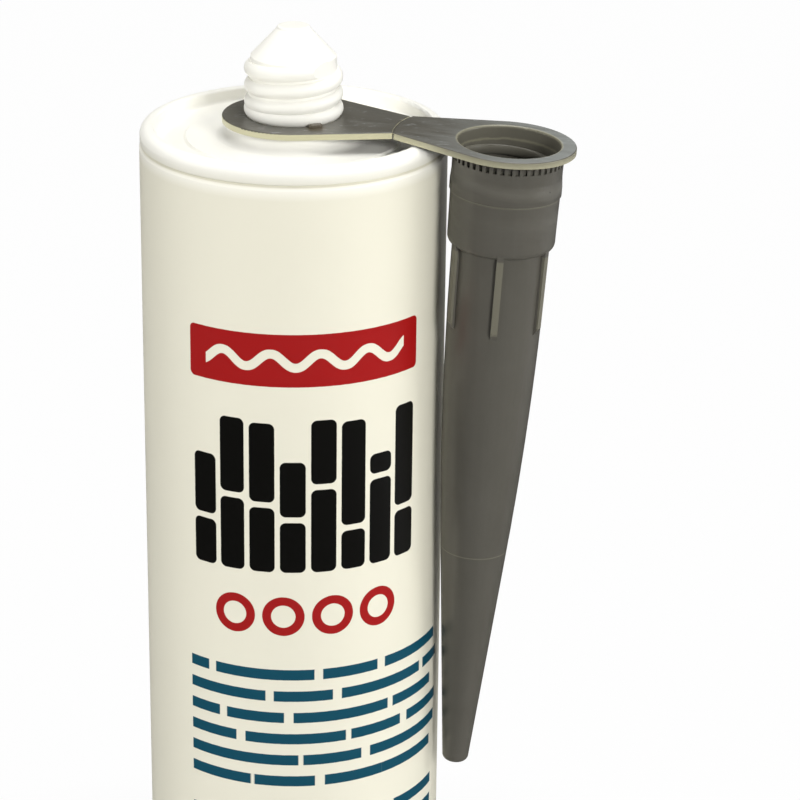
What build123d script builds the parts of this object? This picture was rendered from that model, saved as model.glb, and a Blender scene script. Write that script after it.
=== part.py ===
from build123d import *
import math
import os

# A caulk cartridge that stands on its open base. Its axis is Z and the base ring lies on Z = 0.
# The nozzle hangs beside the barrel, on the +X side, by a ring tab round the threaded neck.

# Barrel: an open tube, driven by a gun's plunger from below
barrel_radius = 25.0
barrel_wall = 1.6
barrel_height = 212.0
base_chamfer = 0.4

# Seam where the tube is welded to the moulded head
seam_depth = 0.45
seam_bevel = 0.8
seam_lip = 0.2

# Head: a rounded rim round a sunken floor, with a step, and a pedestal under the neck
rim_inset = 0.1
rim_height = 2.85
rim_width = 2.4
rim_round = 1.6
rim_edge_round = 0.45
floor_rise = 0.6
floor_round = 0.5
head_thickness = 2.6
head_inner_round = 1.0
step_inset = 4.7
step_height = 0.35
pedestal_radius = 10.2
pedestal_flare = 2.4
pedestal_height = 2.3

# Neck: a drafted shank with a bead, a round thread and a closed cone that is cut off before use
neck_root_radius = 7.35
neck_top_radius = 6.95
neck_height = 10.95
neck_wall = 1.6
tip_radius = 2.7
tip_height = 4.9
tip_wall = 1.5
tip_round = 0.4
bead_lift = 2.2
bead_height = 2.4
bead_depth = 0.7
thread_pitch = 2.8
thread_turns = 2.79
thread_start = 56.0
thread_depth = 0.65
thread_width = 2.3
thread_sink = 0.5
run_out_depth = 0.3

# Hanger ring: a flat tab that the neck's thread keeps on the pedestal
tab_thickness = 1.05
tab_round = 0.25
ring_radius = 11.6
ring_clearance = 0.4
seat_clearance = 0.1
crease_inset = 4.1
crease_half_width = 4.85
crease_gap = 0.25
nub_distance = 8.8
nub_angle = -48.0
nub_length = 2.3
nub_width = 1.2
nub_height = 0.7
nub_round = 0.35

# Nozzle: a flange, a collar with a tear line, a socket, ribs and a closed spout
fold_droop = 3.55
hang_gap = 2.2
flange_radius = 10.75
thread_clearance = 0.2
socket_depth = 14.0
mouth_round = 0.4
collar_radius = 8.95
collar_taper = 0.25
collar_length = 17.2
collar_round = 1.2
bulge_drop = 4.9
bulge_flat = 1.5
bulge_rise = 0.06
ledge_drop = 8.1
ledge_height = 0.12
slot_count = 46
slot_first_angle = 5.3
slot_width = 0.62
slot_height = 1.25
slot_depth = 0.55
slot_drop = 0.5
spout_radius = 7.82
spout_bend_radius = 5.58
spout_bend = 71.0
spout_tip_radius = 2.25
spout_length = 111.7
spout_tip_round = 1.0
spout_wall = 1.1
spout_end_wall = 1.8
rib_count = 6
rib_first_angle = 45.0
rib_width = 1.1
rib_top_radius = 8.6
rib_low_radius = 8.4
rib_end = 31.6
rib_bevel = 1.9

# Piston: a cup with two wiping lips, ribbed underneath
piston_recess = 9.0
piston_height = 15.0
piston_clearance = 0.2
piston_wall = 1.5
piston_crown = 1.8
piston_waist = 0.7
lip_height = 2.2
crown_cone_radius = 9.0
crown_cone_height = 1.6
piston_rib_count = 8
piston_rib_width = 1.2
piston_rib_depth = 6.0
piston_hub_radius = 4.0

# Sealant: the charge between the piston and the head
fill_clearance = 0.1

# Levels and places that follow from the sizes above
bore_radius = barrel_radius - barrel_wall
seam_z = barrel_height
rim_radius = barrel_radius - rim_inset
rim_inner_radius = rim_radius - rim_width
rim_z = seam_z + rim_height
step_radius = rim_inner_radius - step_inset
floor_z = seam_z + floor_rise
head_z = floor_z - head_thickness
step_z = floor_z + step_height
pedestal_z = step_z + pedestal_height
neck_z = pedestal_z + neck_height
bead_z = pedestal_z + bead_lift
thread_rise = thread_pitch * thread_turns
thread_end = thread_start + 360 * thread_turns
tip_z = neck_z + tip_height
ring_top_z = pedestal_z + seat_clearance + tab_thickness
ring_hole_radius = neck_root_radius + ring_clearance
neck_bore_radius = neck_top_radius - neck_wall
tip_bore_radius = tip_radius - tip_wall
socket_radius = neck_root_radius + thread_depth + thread_clearance
crease_distance = rim_inner_radius - crease_inset
flange_reach = barrel_radius + hang_gap + collar_radius - crease_distance
crown_z = piston_recess + piston_height
piston_radius = bore_radius - piston_clearance

# The nozzle's frame: its axis leans with the tab, which droops from the crease
droop = math.radians(fold_droop)
tab_out = Vector(math.cos(droop), 0, -math.sin(droop))
nozzle_up = Vector(math.sin(droop), 0, math.cos(droop))
crease_point = Vector(crease_distance, 0, ring_top_z)
flange_centre = crease_point + tab_out * flange_reach
flange_plane = Plane(origin=flange_centre, x_dir=tab_out, z_dir=nozzle_up)
section_plane = Plane(origin=flange_centre, x_dir=tab_out, z_dir=(0, -1, 0))
nozzle_axis = Axis(flange_centre, nozzle_up)
crease_radius = math.hypot(flange_reach, crease_half_width)

with BuildPart() as cartridge:
    with BuildSketch(Plane.XZ):
        with BuildLine():
            Polyline(
                (bore_radius, 0),
                (barrel_radius - base_chamfer, 0),
                (barrel_radius, base_chamfer),
                (barrel_radius, seam_z - seam_bevel),
                (barrel_radius - seam_depth, seam_z),
                (rim_radius, seam_z + seam_lip),
                (rim_radius, rim_z - rim_round),
            )
            TangentArc(
                (rim_radius, rim_z - rim_round),
                (rim_radius - rim_round, rim_z),
                tangent=(0, 1),
            )
            Line((rim_radius - rim_round, rim_z), (rim_inner_radius + rim_edge_round, rim_z))
            TangentArc(
                (rim_inner_radius + rim_edge_round, rim_z),
                (rim_inner_radius, rim_z - rim_edge_round),
                tangent=(-1, 0),
            )
            Line((rim_inner_radius, rim_z - rim_edge_round), (rim_inner_radius, floor_z + floor_round))
            TangentArc(
                (rim_inner_radius, floor_z + floor_round),
                (rim_inner_radius - floor_round, floor_z),
                tangent=(0, -1),
            )
            Polyline(
                (rim_inner_radius - floor_round, floor_z),
                (step_radius, floor_z),
                (step_radius - step_height, step_z),
                (pedestal_radius + pedestal_flare, step_z),
            )
            TangentArc(
                (pedestal_radius + pedestal_flare, step_z),
                (pedestal_radius, pedestal_z),
                tangent=(-1, 0),
            )
            Polyline(
                (pedestal_radius, pedestal_z),
                (neck_root_radius, pedestal_z),
                (neck_root_radius, bead_z - bead_height / 2),
            )
            ThreePointArc(
                (neck_root_radius, bead_z - bead_height / 2),
                (neck_root_radius + bead_depth, bead_z),
                (neck_root_radius, bead_z + bead_height / 2),
            )
            Polyline(
                (neck_root_radius, bead_z + bead_height / 2),
                (neck_top_radius, neck_z),
                (tip_radius, tip_z - tip_round),
            )
            TangentArc(
                (tip_radius, tip_z - tip_round),
                (tip_radius - tip_round, tip_z),
                tangent=(0, 1),
            )
            Polyline(
                (tip_radius - tip_round, tip_z),
                (0, tip_z),
                (0, tip_z - tip_wall),
                (tip_bore_radius, tip_z - tip_wall),
                (neck_bore_radius, neck_z),
                (neck_bore_radius, head_z),
                (bore_radius - head_inner_round, head_z),
            )
            TangentArc(
                (bore_radius - head_inner_round, head_z),
                (bore_radius, head_z - head_inner_round),
                tangent=(1, 0),
            )
            Line((bore_radius, head_z - head_inner_round), (bore_radius, 0))
        make_face()
    revolve(axis=Axis.Z)
    with BuildLine() as neck_helix:
        plain_helix = Helix(
            thread_pitch,
            thread_rise,
            neck_root_radius,
            center=(0, 0, bead_z),
            mode=Mode.PRIVATE,
        )
        add(plain_helix.rotate(Axis.Z, thread_start))
    start_out = Vector(1, 0, 0).rotate(Axis.Z, thread_start)
    with BuildSketch(Plane(neck_helix.line @ 0, x_dir=start_out, z_dir=neck_helix.line % 0)):
        with BuildLine():
            ThreePointArc((0, -thread_width / 2), (thread_depth, 0), (0, thread_width / 2))
            Polyline(
                (0, thread_width / 2),
                (-thread_sink, thread_width / 2),
                (-thread_sink, -thread_width / 2),
                (0, -thread_width / 2),
            )
        make_face()
    sweep(path=neck_helix.line, is_frenet=True)
    # The thread's upper end runs out on a flat that just clears the shank
    end_out = Vector(1, 0, 0).rotate(Axis.Z, thread_end)
    run_out_point = end_out * (neck_root_radius - run_out_depth) + Vector(0, 0, bead_z + thread_rise)
    with Locations(Plane(run_out_point, x_dir=end_out)):
        Box(
            thread_depth + run_out_depth,
            2 * neck_root_radius,
            thread_pitch,
            align=(Align.MIN, Align.CENTER, Align.CENTER),
            mode=Mode.SUBTRACT,
        )

cartridge.part.label = "cartridge"

with BuildPart() as hanger_ring:
    with BuildSketch(Plane.XY.offset(ring_top_z)):
        with BuildLine():
            CenterArc((0, 0), ring_radius, 0, 360)
            Line((crease_distance, -crease_half_width), (crease_distance, crease_half_width))
        make_hull()
        Circle(ring_hole_radius, mode=Mode.SUBTRACT)
        with Locations((flange_centre.X, 0)):
            Circle(crease_radius + crease_gap, mode=Mode.SUBTRACT)
    extrude(amount=-tab_thickness)
    fillet(hanger_ring.faces().sort_by(Axis.Z)[-1].outer_wire().edges(), tab_round)
    nub_out = Vector(1, 0, 0).rotate(Axis.Z, nub_angle)
    nub_point = nub_out * nub_distance + Vector(0, 0, ring_top_z)
    with BuildSketch(Plane(nub_point, x_dir=nub_out)):
        SlotOverall(nub_length, nub_width, rotation=90)
    extrude(amount=nub_height)
    fillet(hanger_ring.faces().sort_by(Axis.Z)[-1].edges(), nub_round)

hanger_ring.part.label = "hanger_ring"

with BuildPart() as nozzle:
    with BuildSketch(flange_plane):
        with BuildLine():
            CenterArc((0, 0), flange_radius, 0, 360)
            Line((-crease_radius, -crease_half_width), (-crease_radius, crease_half_width))
        make_hull()
        Circle(crease_radius, mode=Mode.INTERSECT)
    extrude(amount=-tab_thickness)
    fillet(nozzle.faces().sort_by(nozzle_axis)[-1].outer_wire().edges(), tab_round)
    with BuildSketch(section_plane):
        with BuildLine():
            Polyline(
                (0, 0),
                (collar_radius, 0),
                (collar_radius - collar_taper / 3, -bulge_drop),
                (collar_radius + bulge_rise, bulge_flat - ledge_drop),
                (collar_radius + bulge_rise, -ledge_drop),
                (collar_radius - collar_taper / 2, -ledge_drop - ledge_height),
                (collar_radius - collar_taper, collar_round - collar_length),
            )
            TangentArc(
                (collar_radius - collar_taper, collar_round - collar_length),
                (spout_radius, -collar_length),
                tangent=(0, -1),
            )
            TangentArc(
                (spout_radius, -collar_length),
                (spout_bend_radius, -spout_bend),
                tangent=(0, -1),
            )
            Line(
                (spout_bend_radius, -spout_bend),
                (spout_tip_radius, spout_tip_round - spout_length),
            )
            TangentArc(
                (spout_tip_radius, spout_tip_round - spout_length),
                (spout_tip_radius - spout_tip_round, -spout_length),
                tangent=(0, -1),
            )
            Polyline((spout_tip_radius - spout_tip_round, -spout_length), (0, -spout_length), (0, 0))
        make_face()
    revolve(axis=nozzle_axis)
    for rib in range(rib_count):
        rib_angle = math.radians(rib_first_angle + rib * 360 / rib_count)
        rib_out = tab_out * math.cos(rib_angle) + Vector(0, math.sin(rib_angle), 0)
        with BuildSketch(Plane(origin=flange_centre, x_dir=rib_out, z_dir=rib_out.cross(nozzle_up))):
            with BuildLine():
                Polyline(
                    (spout_radius - spout_wall / 2, collar_round - collar_length),
                    (rib_top_radius, collar_round - collar_length),
                    (rib_low_radius, rib_bevel - rib_end),
                    (spout_radius - spout_wall / 2, -rib_end),
                    close=True,
                )
            make_face()
        extrude(amount=rib_width / 2, both=True)
    with BuildSketch(section_plane):
        with BuildLine():
            Line((0, 0), (socket_radius + mouth_round, 0))
            TangentArc(
                (socket_radius + mouth_round, 0),
                (socket_radius, -mouth_round),
                tangent=(-1, 0),
            )
            Polyline(
                (socket_radius, -mouth_round),
                (socket_radius, -socket_depth),
                (spout_radius - spout_wall, -socket_depth),
                (spout_radius - spout_wall, -collar_length),
            )
            TangentArc(
                (spout_radius - spout_wall, -collar_length),
                (spout_bend_radius - spout_wall, -spout_bend),
                tangent=(0, -1),
            )
            Polyline(
                (spout_bend_radius - spout_wall, -spout_bend),
                (spout_tip_radius - spout_wall, spout_end_wall - spout_length),
                (0, spout_end_wall - spout_length),
                (0, 0),
            )
        make_face()
    revolve(axis=nozzle_axis, mode=Mode.SUBTRACT)
    with BuildSketch(flange_plane.offset(-tab_thickness - slot_drop)):
        with PolarLocations(collar_radius, slot_count, start_angle=slot_first_angle):
            Rectangle(2 * slot_depth, slot_width)
    extrude(amount=-slot_height, mode=Mode.SUBTRACT)

nozzle.part.label = "nozzle"

with BuildPart() as piston:
    with BuildSketch(Plane.XZ):
        with BuildLine():
            Polyline(
                (piston_radius - piston_wall, piston_recess),
                (piston_radius, piston_recess),
                (piston_radius, piston_recess + lip_height),
                (piston_radius - piston_waist, piston_recess + 2 * lip_height),
                (piston_radius - piston_waist, crown_z - 2 * lip_height),
                (piston_radius, crown_z - lip_height),
                (piston_radius, crown_z),
                (crown_cone_radius, crown_z),
                (0, crown_z - crown_cone_height),
                (0, crown_z - crown_cone_height - piston_crown),
                (crown_cone_radius, crown_z - piston_crown),
                (piston_radius - piston_waist - piston_wall, crown_z - piston_crown),
                (piston_radius - piston_waist - piston_wall, piston_recess + 2 * lip_height),
                close=True,
            )
        make_face()
    revolve(axis=Axis.Z)
    with BuildSketch(Plane.XY.offset(crown_z - piston_crown)):
        with PolarLocations((piston_radius - piston_waist) / 2, piston_rib_count):
            Rectangle(piston_radius - piston_waist - piston_wall / 2, piston_rib_width)
        Circle(piston_hub_radius)
    extrude(amount=-piston_rib_depth)

piston.part.label = "piston"

with BuildPart() as sealant:
    with BuildSketch(Plane.XY.offset(crown_z + fill_clearance)):
        Circle(bore_radius - fill_clearance)
    extrude(amount=head_z - crown_z - 2 * fill_clearance)
    fillet(sealant.edges().sort_by(Axis.Z)[-1], head_inner_round)

sealant.part.label = "sealant"

os.makedirs("parts", exist_ok=True)
export_step(cartridge.part, "parts/cartridge.step")
export_step(hanger_ring.part, "parts/hanger_ring.step")
export_step(nozzle.part, "parts/nozzle.step")
export_step(piston.part, "parts/piston.step")
export_step(sealant.part, "parts/sealant.step")
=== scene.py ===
# %% [markdown]
# # A caulk tube with its nozzle hung on the neck
#
# The object is a sealant cartridge: a cream plastic barrel, a moulded head with a threaded neck, and a grey
# nozzle that hangs beside the barrel by a ring tab. The solids come from the CAD frame and stay where they
# are. This lesson gives them their finishes, adds the few forms that are too fine for the solids, and sets
# the camera and the light of a plain studio.

# %% Load the frame
import math
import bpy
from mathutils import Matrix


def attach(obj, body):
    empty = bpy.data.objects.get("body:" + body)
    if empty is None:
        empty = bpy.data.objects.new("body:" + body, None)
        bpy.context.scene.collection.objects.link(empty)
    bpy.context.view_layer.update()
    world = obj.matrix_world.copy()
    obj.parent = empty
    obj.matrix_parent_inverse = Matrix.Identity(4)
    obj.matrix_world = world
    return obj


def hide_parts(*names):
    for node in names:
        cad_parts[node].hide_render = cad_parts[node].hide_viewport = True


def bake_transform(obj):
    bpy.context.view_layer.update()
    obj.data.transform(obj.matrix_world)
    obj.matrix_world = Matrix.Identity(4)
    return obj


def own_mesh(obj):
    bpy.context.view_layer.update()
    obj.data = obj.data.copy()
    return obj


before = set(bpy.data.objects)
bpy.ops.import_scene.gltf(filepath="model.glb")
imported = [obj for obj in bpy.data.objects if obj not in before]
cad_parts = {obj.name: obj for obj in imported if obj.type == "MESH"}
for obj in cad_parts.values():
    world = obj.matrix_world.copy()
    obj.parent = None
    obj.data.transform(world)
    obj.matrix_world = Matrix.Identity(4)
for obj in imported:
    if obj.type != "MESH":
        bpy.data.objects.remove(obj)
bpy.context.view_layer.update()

from types import SimpleNamespace

import bpy
import numpy as np
from mathutils import Matrix

print("CAD nodes:", sorted(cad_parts))

# %% [markdown]
# ## The camera
#
# The picture was taken from a little above the head, with a long lens. A camera is a place and three turns:
# heading about the vertical, pitch down, and a slight roll. Multiplying the turns in that order is easier
# to follow than Euler angles, because each one is read off the picture by itself. The place is in metres
# from the middle of the base.

# %% Set up the camera
camera_place = (0.15461, -0.45629, 0.35895)
camera_heading = math.radians(16.607)
camera_pitch = math.radians(21.756)
camera_roll = math.radians(0.721)

camera_data = bpy.data.cameras.new("picture_camera")
camera_data.sensor_width = 36.0
camera_data.lens = 139.3
camera_data.clip_start = 0.01
camera = bpy.data.objects.new("picture_camera", camera_data)
bpy.context.scene.collection.objects.link(camera)
camera.matrix_world = (
    Matrix.Translation(camera_place)
    @ Matrix.Rotation(camera_heading, 4, "Z")
    @ Matrix.Rotation(math.pi / 2 - camera_pitch, 4, "X")
    @ Matrix.Rotation(camera_roll, 4, "Z")
)
bpy.context.scene.camera = camera
print("Camera lens in mm:", camera_data.lens)

# %% [markdown]
# ## Node trees as arithmetic
#
# A finish here is worked out from the place of a point on the object, so it is a formula. Laying out dozens
# of Math nodes by hand hides the formula. The class below wraps one socket and gives it the usual operators,
# so that a mask reads as an expression and the nodes follow from it. One more class holds the material and
# has the single method that adds any other node.


# %% Sockets that add and multiply
class Field:
    """One output socket of a finish. Arithmetic on it adds Math nodes to the same tree."""

    def __init__(self, finish, socket):
        self.finish = finish
        self.socket = socket

    def math(self, operation, *values):
        return self.finish.node("ShaderNodeMath", {"operation": operation}, dict(enumerate(values)))

    def beside(self, output):
        """Another output of the node that this field comes from."""
        return Field(self.finish, self.socket.node.outputs[output])

    def __add__(self, other):
        return self.math("ADD", self, other)

    __radd__ = __add__

    def __sub__(self, other):
        return self.math("SUBTRACT", self, other)

    def __rsub__(self, other):
        return self.math("SUBTRACT", other, self)

    def __mul__(self, other):
        return self.math("MULTIPLY", self, other)

    __rmul__ = __mul__

    def __truediv__(self, other):
        return self.math("DIVIDE", self, other)

    def __abs__(self):
        return self.math("ABSOLUTE", self)

    def sine(self):
        return self.math("SINE", self)

    def root(self):
        return self.math("SQRT", self)

    def whole(self):
        return self.math("FLOOR", self)

    def upper(self, other):
        """The larger of two values."""
        return self.math("MAXIMUM", self, other)

    def lower(self, other):
        """The smaller of two values."""
        return self.math("MINIMUM", self, other)

    def held(self):
        """The value kept between 0 and 1."""
        return self.finish.node("ShaderNodeClamp", {}, {"Value": self})


class Finish:
    """A material as a tree of nodes."""

    def __init__(self, name):
        self.material = bpy.data.materials.new(name)
        self.material.use_nodes = True
        self.tree = self.material.node_tree
        self.tree.nodes.clear()

    def node(self, kind, settings, sockets, output=0):
        """Adds a node: its settings first, then the values or links of its sockets. Gives one output."""
        made = self.tree.nodes.new(kind)
        for key, value in settings.items():
            setattr(made, key, value)
        for key, value in sockets.items():
            if isinstance(value, Field):
                self.tree.links.new(value.socket, made.inputs[key])
            else:
                made.inputs[key].default_value = value
        return Field(self, made.outputs[output]) if made.outputs else None


print("Operators ready:", [name for name in vars(Field) if name.startswith("__") and name != "__init__"][:4])

# %% [markdown]
# ## Small tools for finishes
#
# Every finish starts from the object coordinate in millimetres, so the numbers in it are the numbers one
# would measure on the tube. Object coordinates sit still on the piece in every pose. Colours are mixed with
# a Mix node. The relief is a height in millimetres that a Bump node turns into a change of the normal, which
# costs no faces.

# %% Places, mixes, grain and the surface shader
mm_per_metre = 1000.0


def place_mm(finish):
    """The point on the object, in millimetres."""
    coordinate = finish.node("ShaderNodeTexCoord", {}, {}, "Object")
    return finish.node("ShaderNodeVectorMath", {"operation": "SCALE"}, {0: coordinate, "Scale": mm_per_metre})


def split(finish, vector):
    """The three parts of a vector."""
    first = finish.node("ShaderNodeSeparateXYZ", {}, {"Vector": vector}, "X")
    return first, first.beside("Y"), first.beside("Z")


def joined(finish, x, y, z):
    """A vector from three values."""
    return finish.node("ShaderNodeCombineXYZ", {}, {"X": x, "Y": y, "Z": z})


def mixed(finish, mask, under, over):
    """The colour under where the mask is 0, and the colour over where it is 1."""
    return finish.node("ShaderNodeMix", {"data_type": "RGBA"}, {0: mask, 6: under, 7: over}, 2)


def grain(finish, vector, scale, detail=2.0):
    """Smooth noise from about -0.5 to 0.5, with scale bumps to a millimetre."""
    sockets = {"Vector": vector, "Scale": scale, "Detail": detail, "Roughness": 0.55}
    return finish.node("ShaderNodeTexNoise", {}, sockets, "Fac") - 0.5


def inside(distance, soft=0.05):
    """1 where a signed distance is negative, 0 where it is positive, over a soft edge in mm."""
    return (0.5 - distance / soft).held()


def ridge(value, centre, half_width):
    """1 on a line at centre, falling straight to 0 at half_width to each side."""
    return (1.0 - abs(value - centre) / half_width).held()


def rise(value, start, end):
    """A smooth step from 0 at start to 1 at end."""
    share = ((value - start) / (end - start)).held()
    return share * share * (3.0 - 2.0 * share)


def surface(finish, colour, roughness, height_mm, **constants):
    """The plastic's shader, with relief from a height in millimetres."""
    relief = {"Strength": 1.0, "Distance": 1.0 / mm_per_metre, "Height": height_mm}
    normal = finish.node("ShaderNodeBump", {}, relief, "Normal")
    sockets = {"Base Color": colour, "Roughness": roughness, "Normal": normal}
    sockets.update({key.replace("_", " "): value for key, value in constants.items()})
    shader = finish.node("ShaderNodeBsdfPrincipled", {}, sockets)
    finish.node("ShaderNodeOutputMaterial", {}, {"Surface": shader})


def dress(node_name, finish):
    """Gives a CAD node its finish."""
    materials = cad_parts[node_name].data.materials
    materials.clear()
    materials.append(finish.material)
    print(node_name, "wears", finish.material.name, "with", len(finish.tree.nodes), "nodes")


# %% [markdown]
# ## The studio
#
# The tube stood in front of pure white, under soft lamps. A floor that is lit up to white would also throw
# too much light on the object. Instead the floor and the world look white to the camera, through the Light
# Path node, while the light that they give stays at a plain level. Close to the tube the floor shows part of
# its own shading, so that it keeps the soft shadow. In gloss the floor is pale far behind the tube and behind
# it on the right, which lights the edges of the plastic there. The rest of the room is dim, so the side that
# faces the camera shows little gloss.


# %% Floor and world
def seen_by(finish):
    """Two shares: 1 for camera and transmission rays, and 1 for glossy rays."""
    camera_ray = finish.node("ShaderNodeLightPath", {}, {}, "Is Camera Ray")
    return camera_ray.upper(camera_ray.beside("Is Transmission Ray")), camera_ray.beside("Is Glossy Ray")


floor_finish = Finish("studio_floor")
floor_place = floor_finish.node("ShaderNodeTexCoord", {}, {}, "Object")
floor_tone = 0.60 + 0.03 * grain(floor_finish, floor_place, 9.0)
dim_room = 0.02
floor_x, floor_y = split(floor_finish, floor_place)[:2]
floor_right = ((floor_x - 0.16) / 0.25).held() * ((floor_y - 0.02) / 0.2).held()
floor_back = ((floor_y - 0.55) / 0.3).held()
floor_room = dim_room + 0.45 * floor_right.upper(floor_back)
floor_eye, floor_gloss = seen_by(floor_finish)
floor_colour = joined(floor_finish, floor_tone, floor_tone, floor_tone)
floor_shade = floor_finish.node("ShaderNodeBsdfDiffuse", {}, {"Color": floor_colour})
white = (1.0, 1.0, 1.0, 1.0)
floor_glow = {"Color": white, "Strength": floor_eye.upper(floor_room)}
floor_white = floor_finish.node("ShaderNodeEmission", {}, floor_glow)
floor_reach = (floor_x * floor_x + floor_y * floor_y).root()
floor_near = (1.0 - (floor_reach - 0.05) / 0.13).held()
glow_share = 0.97
floor_share = (floor_eye * (glow_share - 0.42 * floor_near)).upper(glow_share * floor_gloss)
floor_mix = floor_finish.node("ShaderNodeMixShader", {}, {0: floor_share, 1: floor_shade, 2: floor_white})
floor_finish.node("ShaderNodeOutputMaterial", {}, {"Surface": floor_mix})

floor_half = 3.0
floor_corners = floor_half * np.array([(-1, -1, 0), (1, -1, 0), (1, 1, 0), (-1, 1, 0)])
floor_mesh = bpy.data.meshes.new("studio_floor")
floor_mesh.from_pydata(floor_corners.tolist(), [], [(0, 1, 2, 3)])
floor_mesh.materials.append(floor_finish.material)
floor = bpy.data.objects.new("studio_floor", floor_mesh)
bpy.context.scene.collection.objects.link(floor)

world = bpy.data.worlds.new("studio_world")
bpy.context.scene.world = world
world.use_nodes = True
world.node_tree.nodes.clear()


class WorldFinish(Finish):
    """The world's node tree, handled as a finish."""

    def __init__(self, tree):
        self.tree = tree


sky = WorldFinish(world.node_tree)
sky_direction = sky.node("ShaderNodeTexCoord", {}, {}, "Generated")
sky_x, sky_y = split(sky, sky_direction)[:2]
sky_right = ((sky_x + 0.10) / 0.8).held() * ((0.35 - sky_y) / 0.7).held()
sky_room = dim_room + 0.06 * sky_right
sky_strength = seen_by(sky)[0].upper(sky_room)
sky_light = sky.node("ShaderNodeBackground", {}, {"Color": white, "Strength": sky_strength})
sky.node("ShaderNodeOutputWorld", {}, {"Surface": sky_light})
print("Floor is", 2 * floor_half, "m across")

# %% [markdown]
# ## The lamps
#
# On the picture the top of the head is the brightest place, the barrel grows lighter towards its right side,
# and the nozzle throws a fairly clear shadow on the barrel's edge beside it. So a wide panel hangs high above
# and a little behind, and a smaller one stands at the right in front, where it throws that shadow. A weak
# panel at the right lights the nozzle's own edge, and two more fill from the left and from behind. Each one
# is aimed at the tube below its head. The panels that would draw a bright patch are kept out of gloss.


# %% Soft panels
def panel(name, place, target, size, power, mirrored):
    """A square area lamp at place, turned to the target. Unless mirrored, no gloss shows it."""
    data = bpy.data.lights.new(name, "AREA")
    data.shape = "SQUARE"
    data.size = size
    data.energy = power
    lamp = bpy.data.objects.new(name, data)
    bpy.context.scene.collection.objects.link(lamp)
    lamp.visible_glossy = mirrored
    place = np.array(place)
    back = (place - np.array(target)) / np.linalg.norm(place - np.array(target))
    side = np.cross((0.0, 1.0, 0.0) if abs(back[2]) > 0.95 else (0.0, 0.0, 1.0), back)
    side /= np.linalg.norm(side)
    axes = np.column_stack([side, np.cross(back, side), back])
    lamp.matrix_world = Matrix.Translation(place.tolist()) @ Matrix(axes.tolist()).to_4x4()
    print(name, "is", size, "m wide at", [round(value, 2) for value in place.tolist()])


lamp_target = (0.0, 0.0, 0.18)
panel("top_panel", (0.10, 0.15, 1.30), lamp_target, 0.9, 12.0, True)
panel("right_panel", (0.85, -0.83, 0.62), lamp_target, 0.36, 11.3, False)
panel("edge_panel", (1.18, 0.21, 0.45), lamp_target, 0.5, 3.4, True)
panel("left_panel", (-1.08, -0.50, 0.50), lamp_target, 0.7, 9.6, False)
panel("back_panel", (-0.35, 1.15, 0.70), lamp_target, 0.7, 4.0, False)

# %% [markdown]
# ## The print on the barrel
#
# The barrel is printed straight on the plastic. The design here is a plain one of coloured fields: a red
# band with a cream wave, black columns, a row of red rings and teal rules. There is no picture and no
# lettering. Each shape is a signed distance, worked out on the unrolled barrel: u runs round the barrel from
# the middle of the panel and z runs up, both in millimetres.


# %% Shapes on the unrolled barrel
def rounded(over_u, over_z, radius):
    """Distance outside a rounded corner: how far u and z reach past its inner box, less the radius."""
    past_u = over_u.upper(0.0)
    past_z = over_z.upper(0.0)
    return (past_u * past_u + past_z * past_z).root() + over_u.upper(over_z).lower(0.0) - radius


def box_distance(u, z, middle, half, radius):
    """Distance outside a rounded box with that middle and half size."""
    over_u = abs(u - middle[0]) - (half[0] - radius)
    over_z = abs(z - middle[1]) - (half[1] - radius)
    return rounded(over_u, over_z, radius)


panel_angle = math.radians(-66.0)
barrel_radius = 25.0
band_z = 183.1
band_half = (20.4, 4.45)
wave_rate = 0.78
stroke_half = 0.75
column_pitch = 5.05
column_base = 146.3
column_half = 2.1
ring_pitch = 8.2
ring_radius = 2.75
rings_z = 138.4
rules_top = 129.7
rules_pitch = 3.95
rules_half = 0.95
rules_shown = 15
rules_left = -21.0


def red_print(u, z):
    """The band less its wave, and a row of four rings."""
    band = inside(box_distance(u, z, (0.0, band_z), band_half, 0.9))
    slope = 0.9 * (u * wave_rate + math.pi / 2).sine()
    wave = abs(z - band_z - 1.15 * (u * wave_rate).sine()) / (1.0 + slope * slope).root() - stroke_half
    wave = inside(wave.upper(abs(u) - 17.2))
    along = u / ring_pitch
    off_u = (along - along.whole() - 0.5) * ring_pitch
    off_z = z - rings_z
    rings = abs((off_u * off_u + off_z * off_z).root() - ring_radius) - stroke_half
    rings = rings.upper(abs(u) - 2 * ring_pitch)
    return (band * (1.0 - wave)).upper(inside(rings))


def black_print(u, z):
    """Eight upright columns of unequal height on one base line, each cut through once."""
    along = u / column_pitch
    column = along.whole()
    radius = 1.0
    over_u = abs(along - column - 0.5) * column_pitch - (column_half - radius)
    height = 24.0 + 4.6 * (column * 2.1 + 0.6).sine()
    over_z = abs(z - column_base - height * 0.5) - height * 0.5 + radius
    cut_z = column_base + 11.5 + 4.2 * (column * 3.6 + 1.0).sine()
    over_z = over_z.upper(0.5 + radius - abs(z - cut_z))
    return inside(rounded(over_u, over_z, radius).upper(abs(u) - 4 * column_pitch))


def teal_print(u, z):
    """Rules in paragraphs, broken where two waves with a phase for each rule meet."""
    drop = (rules_top - z) / rules_pitch
    rule = drop.whole()
    within = abs(drop - rule - 0.5) * rules_pitch - rules_half
    breaks = (u * 1.06 + rule * 2.4).sine() + (u * 0.63 + rule * 5.1).sine()
    right_end = 28.6 + 1.8 * (rule * 2.3).sine()
    paragraph_gap = abs(rule - 6.0).lower(abs(rule - 11.0))
    shown = inside(abs(rule - (rules_shown - 1) / 2) - rules_shown / 2 + 0.2, 0.2)
    shown = shown * inside(0.5 - paragraph_gap)
    near_end = (u - right_end).upper(rules_left - u)
    broken = inside(1.5 - breaks, 0.1) * inside(near_end + 3.0)
    return inside(within) * (1.0 - broken) * inside(near_end) * shown


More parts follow.
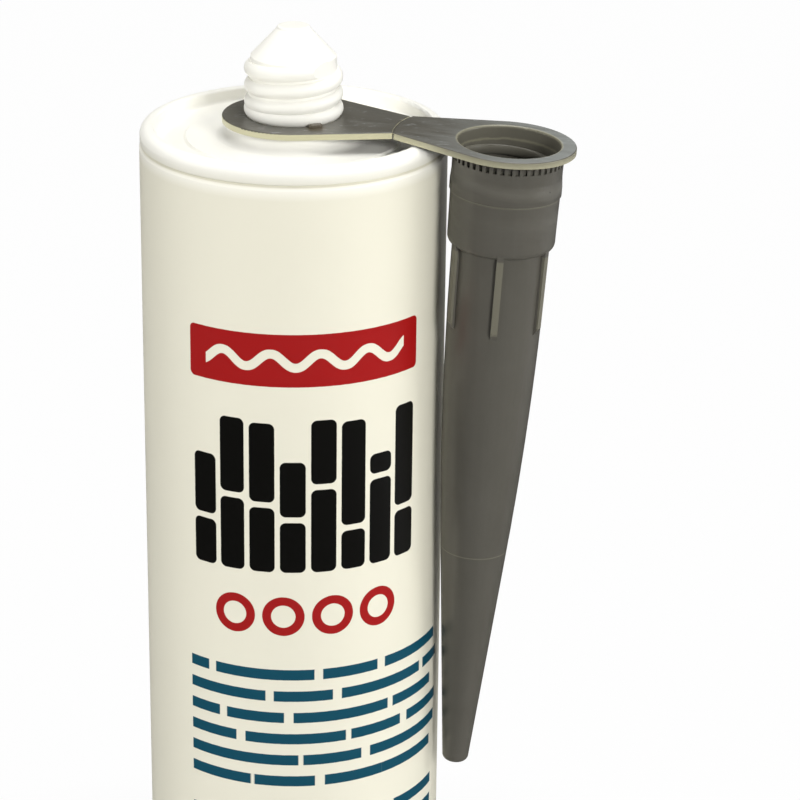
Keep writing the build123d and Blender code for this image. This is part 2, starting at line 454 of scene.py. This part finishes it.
print("Panel runs", round(math.degrees(2 * band_half[0] / barrel_radius)), "degrees round the barrel")

# %% [markdown]
# ## Barrel and head
#
# Barrel and head are polyethylene: cream, slightly waxy, with a soft gloss. The extruded barrel carries
# faint lines along its length, and the moulded head has an even fine grain. The head's colour is a lighter
# copy of the cream, painted light for its brightly lit top. A single noise would look like stone, so the
# lines come from noise that is stretched along the axis, and the grain from a second one. At the seam
# between them painted shade darkens the head a little, and a painted highlight makes a pale edge on the
# barrel just below. The ink lies on the outside of the barrel alone, and it is a little duller than the
# plastic.

# %% The cartridge's finish
cream = (0.81, 0.783, 0.648, 1.0)
deep_cream = (0.79, 0.755, 0.615, 1.0)
# The head's colour: the cream made lighter, as painted light for its brightly lit top.
head_lit_cream = (0.92, 0.91, 0.85, 1.0)
ink_red = (0.36, 0.003, 0.003, 1.0)
ink_black = (0.004, 0.0037, 0.003, 1.0)
ink_teal = (0.001, 0.070, 0.115, 1.0)
# Colours of the painted shade just above the seam and of the painted highlight just below it.
seam_shade = (0.50, 0.475, 0.36, 1.0)
edge_highlight_white = (0.96, 0.94, 0.85, 1.0)
seam_z = 212.0
print_reach = 24.7
skin_reach = 23.6

cartridge = Finish("cream_polyethylene")
tube_place = place_mm(cartridge)
tube_x, tube_y, tube_z = split(cartridge, tube_place)
from_axis = (tube_x * tube_x + tube_y * tube_y).root()
around = tube_y.math("ARCTAN2", tube_y, tube_x)
ink_waver = 0.05 * grain(cartridge, tube_place, 1.6)
panel_u = (around - panel_angle) * barrel_radius + ink_waver
panel_z = tube_z + ink_waver
on_barrel = inside(print_reach - from_axis, 0.02)
outside = inside(skin_reach - from_axis, 0.1)

mottle = grain(cartridge, tube_place, 0.07, 3.0)
# Cream on the barrel, and its lighter painted-light copy on the head above the seam.
plain = mixed(cartridge, inside(seam_z - tube_z, 0.1), cream, head_lit_cream)
tinted = mixed(cartridge, (0.35 + 0.9 * mottle).held(), plain, deep_cream)
toned = mixed(cartridge, 0.25, plain, tinted)
# Painted shade on the head just above the seam, going towards cream and then the darker seam colour, and a
# painted highlight on the barrel just below it.
shade_over_seam = (1.0 - (tube_z - seam_z) / 2.2).held() * inside(seam_z - 0.35 - tube_z, 0.2)
highlight_under_seam = ridge(tube_z, seam_z - 0.7, 1.8) * inside(tube_z - seam_z + 0.35, 0.2)
toned = mixed(cartridge, 0.5 * shade_over_seam * outside, toned, cream)
toned = mixed(cartridge, 0.32 * shade_over_seam * shade_over_seam * outside, toned, seam_shade)
toned = mixed(cartridge, 0.85 * highlight_under_seam * outside, toned, edge_highlight_white)
red_mask = red_print(panel_u, panel_z) * on_barrel
black_mask = black_print(panel_u, panel_z) * on_barrel
teal_mask = teal_print(panel_u, panel_z) * on_barrel
printed = mixed(cartridge, red_mask, toned, ink_red)
printed = mixed(cartridge, black_mask, printed, ink_black)
printed = mixed(cartridge, teal_mask, printed, ink_teal)
ink = red_mask.upper(black_mask).upper(teal_mask)

draw_lines = grain(cartridge, joined(cartridge, tube_x, tube_y, tube_z * 0.02), 1.3, 3.0)
fine_grain = grain(cartridge, tube_place, 2.2)
tube_height = 0.006 * draw_lines + 0.004 * fine_grain + 0.006 * ink
tube_roughness = 0.33 + 0.10 * mottle + 0.05 * fine_grain + 0.08 * ink
surface(cartridge, printed, tube_roughness, tube_height, IOR=1.53, Specular_IOR_Level=0.4)
dress("cartridge", cartridge)

# %% [markdown]
# ## Nozzle and ring tab
#
# The nozzle and its tab are one colour of grey, satin from the mould. Flow lines run down the spout, soft
# swells go round the collar with painted highlight bands on them, and a thin witness line goes round the
# spout where two mould blocks met. The side faces of the tab and flange, the outsides of the ribs, and the
# lip, wall, a shoulder and the ledge in the socket carry painted light, so they look paler. The top of the
# tab is scuffed along its length, and its colour carries a painted sheen that grows lighter towards the
# flange. All of these follow the nozzle's own leaning axis, so the finish first works out the depth below
# the flange and the reach from that axis.

# %% The grey plastic
nozzle_grey = (0.085, 0.080, 0.065, 1.0)
pale_grey = (0.108, 0.102, 0.085, 1.0)
# A lighter grey for the painted highlight bands on the collar.
collar_band_highlight_grey = (0.125, 0.119, 0.099, 1.0)
# Paler grey for the witness line, and for painted light on side faces, edges and ridges.
witness_and_painted_light_grey = (0.53, 0.505, 0.335, 1.0)
# Grey for the scuffs and for the painted sheen on the top of the tab.
scuff_and_sheen_grey = (0.285, 0.300, 0.288, 1.0)
scratch_grey = (0.40, 0.42, 0.42, 1.0)
speck_brown = (0.02, 0.018, 0.014, 1.0)
nub_brown = (0.105, 0.082, 0.050, 1.0)
lean = math.radians(3.55)
flange_centre = (36.116, 0.0, 215.301)
ring_top_z = 216.4
tab_thickness = 1.05
nub_place = (5.89, -6.54)
socket_radius = 8.2
ledge_depth = 8.25
witness_depth = 70.95


def grey_plastic(name, tab_up, painted_light_from):
    """Satin grey plastic: tab_up is the tab's upright, and the last argument gives the share of painted
    light.
    """
    finish = Finish(name)
    place = place_mm(finish)
    x, y, z = split(finish, place)
    out = (x - flange_centre[0]) * math.cos(lean) - (z - flange_centre[2]) * math.sin(lean)
    depth = (flange_centre[0] - x) * math.sin(lean) + (flange_centre[2] - z) * math.cos(lean)
    normal = finish.node("ShaderNodeTexCoord", {}, {}, "Normal")
    vectors = {0: normal, 1: tab_up}
    facing = finish.node("ShaderNodeVectorMath", {"operation": "DOT_PRODUCT"}, vectors, "Value")
    reach = (out * out + y * y).root()
    upright = inside(abs(facing) - 0.5, 0.3)
    rough = grain(finish, place, 0.8, 3.0)
    spot = SimpleNamespace(out=out, y=y, z=z, depth=depth, reach=reach, upright=upright, rough=rough)
    painted_light = painted_light_from(spot)

    cloud = grain(finish, place, 0.16, 3.0)
    flow = grain(finish, joined(finish, out, y, depth * 0.05), 0.9, 3.0)
    scuff = grain(finish, joined(finish, x * 0.12, y, z), 0.9, 4.0)
    on_top = inside(0.9 - facing, 0.1) * inside(ring_top_z - 2.4 - z, 0.2)
    witness = ridge(depth, witness_depth, 0.14)
    colour = mixed(finish, (0.5 + 0.9 * cloud + 0.5 * flow).held(), nozzle_grey, pale_grey)
    on_collar = inside(8.5 - reach, 0.1) * inside(reach - 12.0, 1.0)
    # Painted highlight bands round the collar, where its swells catch the light.
    sunk = depth - 0.06 * out + 1.0 * cloud
    painted_collar_bands = (0.9 * ridge(sunk, 5.6, 1.4)).upper(0.25 * ridge(sunk, 11.2, 1.6))
    colour = mixed(finish, painted_collar_bands * on_collar, colour, collar_band_highlight_grey)
    # Scuffs on the tab's top, with a painted sheen that grows lighter towards the flange.
    scuff_and_painted_sheen = on_top * ((0.026 * (x - 19.0)).upper(0.0) + 0.6 * scuff).held()
    colour = mixed(finish, scuff_and_painted_sheen, colour, scuff_and_sheen_grey)
    scratch = grain(finish, joined(finish, x * 0.5 + y * 0.3, y * 1.6 - x * 0.8, z), 0.9, 4.0)
    scratches = on_top * inside(0.15 - scratch, 0.06)
    colour = mixed(finish, 0.45 * scratches, colour, scratch_grey)
    # Paler colour for the witness line and for the painted light on side faces, edges and ridges.
    colour = mixed(finish, (0.16 * witness).upper(painted_light), colour, witness_and_painted_light_grey)
    speck_settings = {"voronoi_dimensions": "3D", "feature": "F1"}
    speck_sockets = {"Vector": place, "Scale": 0.17}
    speck_distance = finish.node("ShaderNodeTexVoronoi", speck_settings, speck_sockets, "Distance")
    specks = inside(speck_distance - 0.028, 0.012)
    colour = mixed(finish, 0.8 * specks, colour, speck_brown)
    nub_x, nub_y = x - nub_place[0], y - nub_place[1]
    nub = inside((nub_x * nub_x + nub_y * nub_y).root() - 1.6, 0.8) * inside(ring_top_z - 0.1 - z, 0.1)
    colour = mixed(finish, 0.6 * nub, colour, nub_brown)

    fine = grain(finish, place, 3.0)
    sag = grain(finish, joined(finish, out * 0.35, y * 0.35, depth), 0.3, 2.0)
    sag = sag * inside(abs(depth - 9.0) - 6.5, 3.0)
    swell = 0.16 * rise(sunk, 4.3, 6.9) - 0.12 * rise(sunk, 6.7, 8.0)
    swell = swell + 0.16 * rise(depth, 10.0, 12.4) - 0.25 * rise(depth, 1.2, 4.1)
    swell = swell * on_collar
    height = 0.006 * fine + 0.014 * flow + 0.03 * witness + 0.02 * on_top * scuff + 0.4 * sag + swell
    roughness = 0.36 + 0.10 * cloud + 0.06 * fine + 0.25 * on_top * scuff
    surface(finish, colour, roughness, height, IOR=1.5)
    return finish


def painted_light_on_nozzle(spot):
    """Painted light and painted highlights: the flange's rim, paler towards the underside, the socket's lip,
    shoulder and wall, the ledge and the ribs.
    """
    depth, reach = spot.depth, spot.reach
    # Painted light on the flange's side faces, growing paler towards the underside and along the tab.
    rim = spot.upright * inside(8.8 - reach, 0.1) * inside(depth - tab_thickness - 0.05, 0.1)
    rim = rim * (0.26 + 0.34 * depth + 0.32 * inside(spot.out + 10.0, 4.0)).held()
    # Painted highlights on the socket's lip and on a shoulder inside it that has no relief, and painted light
    # on the wall near the mouth, fading with depth.
    lip = 0.34 * ridge(reach, 8.42, 0.3) * inside(depth - 0.5, 0.1)
    in_socket = inside(reach - socket_radius - 0.05, 0.02)
    shoulder = 0.26 * ridge(depth, 2.2 + 0.5 * spot.rough, 0.4)
    wall = in_socket * (0.08 * (1.0 - depth / 6.0).held()).upper(shoulder)
    # A painted highlight on the ledge, and painted light on the outsides of the ribs.
    ledge = 0.13 * ridge(depth, ledge_depth, 0.25) * inside(8.6 - reach, 0.1)
    ribs = 0.14 * inside(8.12 - reach, 0.1) * inside(abs(depth - 24.6) - 7.2, 0.2)
    return rim.upper(lip).upper(wall).upper(ledge).upper(ribs)


def painted_light_on_ring(spot):
    """Painted light on the ring's outer side faces, but not on the wall of its hole or the nub on its top."""
    beyond_hole = inside(spot.out + 24.6, 0.1).upper(inside(9.0 - abs(spot.y), 0.1))
    beyond_hole = beyond_hole.upper(inside(-27.0 - spot.out, 0.1))
    return spot.upright * beyond_hole * inside(spot.z - ring_top_z - 0.02, 0.02)


nozzle_finish = grey_plastic("satin_grey_nozzle", (math.sin(lean), 0.0, math.cos(lean)), painted_light_on_nozzle)
ring_finish = grey_plastic("satin_grey_tab", (0.0, 0.0, 1.0), painted_light_on_ring)
dress("nozzle", nozzle_finish)
dress("hanger_ring", ring_finish)

# %% [markdown]
# ## Piston
#
# The piston is natural polyethylene, milky and a little grey. It is moulded, and its crown and skirt show the
# rings that the turned mould left. Rings are the sine of the distance from the axis.

# %% The piston's finish
piston = Finish("natural_polyethylene")
piston_place = place_mm(piston)
piston_x, piston_y = split(piston, piston_place)[:2]
piston_reach = (piston_x * piston_x + piston_y * piston_y).root()
piston_cloud = grain(piston, piston_place, 0.2, 3.0)
turned_rings = (piston_reach * 9.0).sine()
milky = (0.66, 0.66, 0.62, 1.0)
pale_milky = (0.74, 0.735, 0.69, 1.0)
piston_colour = mixed(piston, (0.5 + piston_cloud).held(), milky, pale_milky)
piston_relief = 0.008 * turned_rings + 0.006 * grain(piston, piston_place, 2.0)
surface(piston, piston_colour, 0.42 + 0.1 * piston_cloud, piston_relief, IOR=1.53)
dress("piston", piston)

# %% [markdown]
# ## Surfaces from arrays
#
# The new pieces are surfaces over two parameters. The function below takes a whole grid of points at once,
# joins neighbours into quads with index arithmetic, and closes the seam where the second parameter comes
# round. The two end rows are capped with one polygon each.


# %% Grid to mesh
def grid_piece(name, points, finish, body=None):
    """A closed mesh from points of shape (rows, columns, 3) in millimetres, whose columns run round."""
    rows, columns = points.shape[:2]
    index = np.arange(rows * columns).reshape(rows, columns)
    index = np.concatenate([index, index[:, :1]], axis=1)
    quads = np.stack([index[:-1, :-1], index[:-1, 1:], index[1:, 1:], index[1:, :-1]], axis=-1)
    faces = quads.reshape(-1, 4).tolist()
    faces += [index[0, :columns][::-1].tolist(), index[-1, :columns].tolist()]
    mesh = bpy.data.meshes.new(name)
    mesh.from_pydata((points.reshape(-1, 3) / mm_per_metre).tolist(), [], faces)
    mesh.polygons.foreach_set("use_smooth", np.ones(len(faces), dtype=bool))
    mesh.materials.append(finish.material)
    piece = bpy.data.objects.new(name, mesh)
    bpy.context.scene.collection.objects.link(piece)
    if body:
        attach(piece, body)
    print(name, "has", len(mesh.vertices), "points and", len(faces), "faces")
    return piece


# %% [markdown]
# ## The thread in the socket
#
# Looking into the flange one sees the thread that screws on the neck. It is a low round ridge on a helix. It
# could be a swept curve, but a formula gives the same pitch as the neck and lets the ridge rise and sink at
# its two ends. The root lies a little inside the socket's wall, so no gap shows.


# %% Socket thread
def socket_thread():
    """A half-lens section carried up a helix: radius is the wall less the ridge, which fades at both ends."""
    turn = np.linspace(0.0, 1.0, 361)[:, None]
    section = np.linspace(0.0, 2 * np.pi, 17)[None, :-1]
    turns, pitch, first_depth = 3.2, 2.8, 2.0
    root_sink, half_height, half_width = 0.08, 0.42, 0.85
    fade = np.clip(np.minimum(turn, 1.0 - turn) / 0.05, 0.02, 1.0)
    radius = socket_radius + root_sink - (half_height + half_height * np.cos(section)) * fade
    depth = first_depth + turns * pitch * turn + half_width * np.sin(section) * fade
    angle = 2 * np.pi * turns * turn + 0 * section
    out, across = radius * np.cos(angle), -radius * np.sin(angle)
    tab_out = np.array([math.cos(lean), 0.0, -math.sin(lean)])
    nozzle_down = np.array([-math.sin(lean), 0.0, -math.cos(lean)])
    along_y = np.array([0.0, 1.0, 0.0])
    return (
        np.array(flange_centre)
        + out[..., None] * tab_out
        + across[..., None] * along_y
        + depth[..., None] * nozzle_down
    )


thread_piece = grid_piece("socket_thread", socket_thread(), nozzle_finish, "spout")

# %% [markdown]
# ## The living hinge
#
# Ring and flange are moulded together, with a thin web at the crease so that the nozzle can be folded up. The
# solids leave a narrow slot there. The web is a small arched strip over the arc of the crease.


# %% Hinge web
def hinge_web():
    """A closed flat oval section, carried along the arc of the crease."""
    crease_run, crease_half = 17.75, 4.85
    crease_radius = math.hypot(crease_run, crease_half)
    half_angle = math.asin(crease_half / crease_radius) * 0.985
    along = np.linspace(-half_angle, half_angle, 25)[:, None]
    section = np.linspace(0.0, 2 * np.pi, 25)[None, :-1]
    reach = crease_radius + 0.125 + 0.2 * np.cos(section) + 0 * along
    x = flange_centre[0] - reach * np.cos(along)
    y = reach * np.sin(along)
    level = ring_top_z - 0.28 + 0.14 * np.sin(section)
    return np.stack([x, y, level + 0 * x], axis=-1)


web_piece = grid_piece("hinge_web", hinge_web(), ring_finish)
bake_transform(web_piece)

# %% [markdown]
# ## The paste
#
# The charge of sealant is a pale paste that fills the barrel between piston and head. It is soft, so a piece
# stands for its solid. Its side is a turned profile with a slight ripple, as paste has where the filling head
# stopped.

# %% Paste column
paste = Finish("pale_paste")
paste_place = place_mm(paste)
paste_cloud = grain(paste, paste_place, 0.12, 3.0)
paste_white = (0.74, 0.74, 0.71, 1.0)
paste_pale = (0.81, 0.81, 0.79, 1.0)
paste_colour = mixed(paste, (0.5 + paste_cloud).held(), paste_white, paste_pale)
surface(paste, paste_colour, 0.3 + 0.1 * paste_cloud, 0.05 * grain(paste, paste_place, 0.5), IOR=1.41)


def paste_column():
    """A turned profile: radius and height over the profile, the same at every angle but for a ripple."""
    low, high, side_radius = 24.1, 209.9, 23.25
    cap_rows, side_rows = 8, 41
    base_r = np.linspace(0.4, 22.6, cap_rows)
    top_r = np.linspace(22.6, 0.4, cap_rows)
    side_z = np.linspace(low + 0.6, high - 1.0, side_rows)
    profile_r = np.concatenate([base_r, np.full(side_rows, side_radius), top_r])[:, None]
    profile_z = np.concatenate([np.full(cap_rows, low), side_z, np.full(cap_rows, high)])[:, None]
    angle = np.linspace(0.0, 2 * np.pi, 73)[None, :-1]
    ripple_height = 0.04
    ripple = ripple_height * np.sin(3 * angle + profile_z * 0.11)
    radius = profile_r - ripple_height + ripple * (profile_r == side_radius)
    return np.stack([radius * np.cos(angle), radius * np.sin(angle), profile_z + 0 * angle], axis=-1)


paste_piece = grid_piece("sealant_paste", paste_column(), paste, "barrel")
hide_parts("sealant")
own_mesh(paste_piece)

# %% [markdown]
# ## Colour handling
#
# The Standard view shows colours as they are written.

# %% Finish
bpy.context.scene.view_settings.view_transform = "Standard"
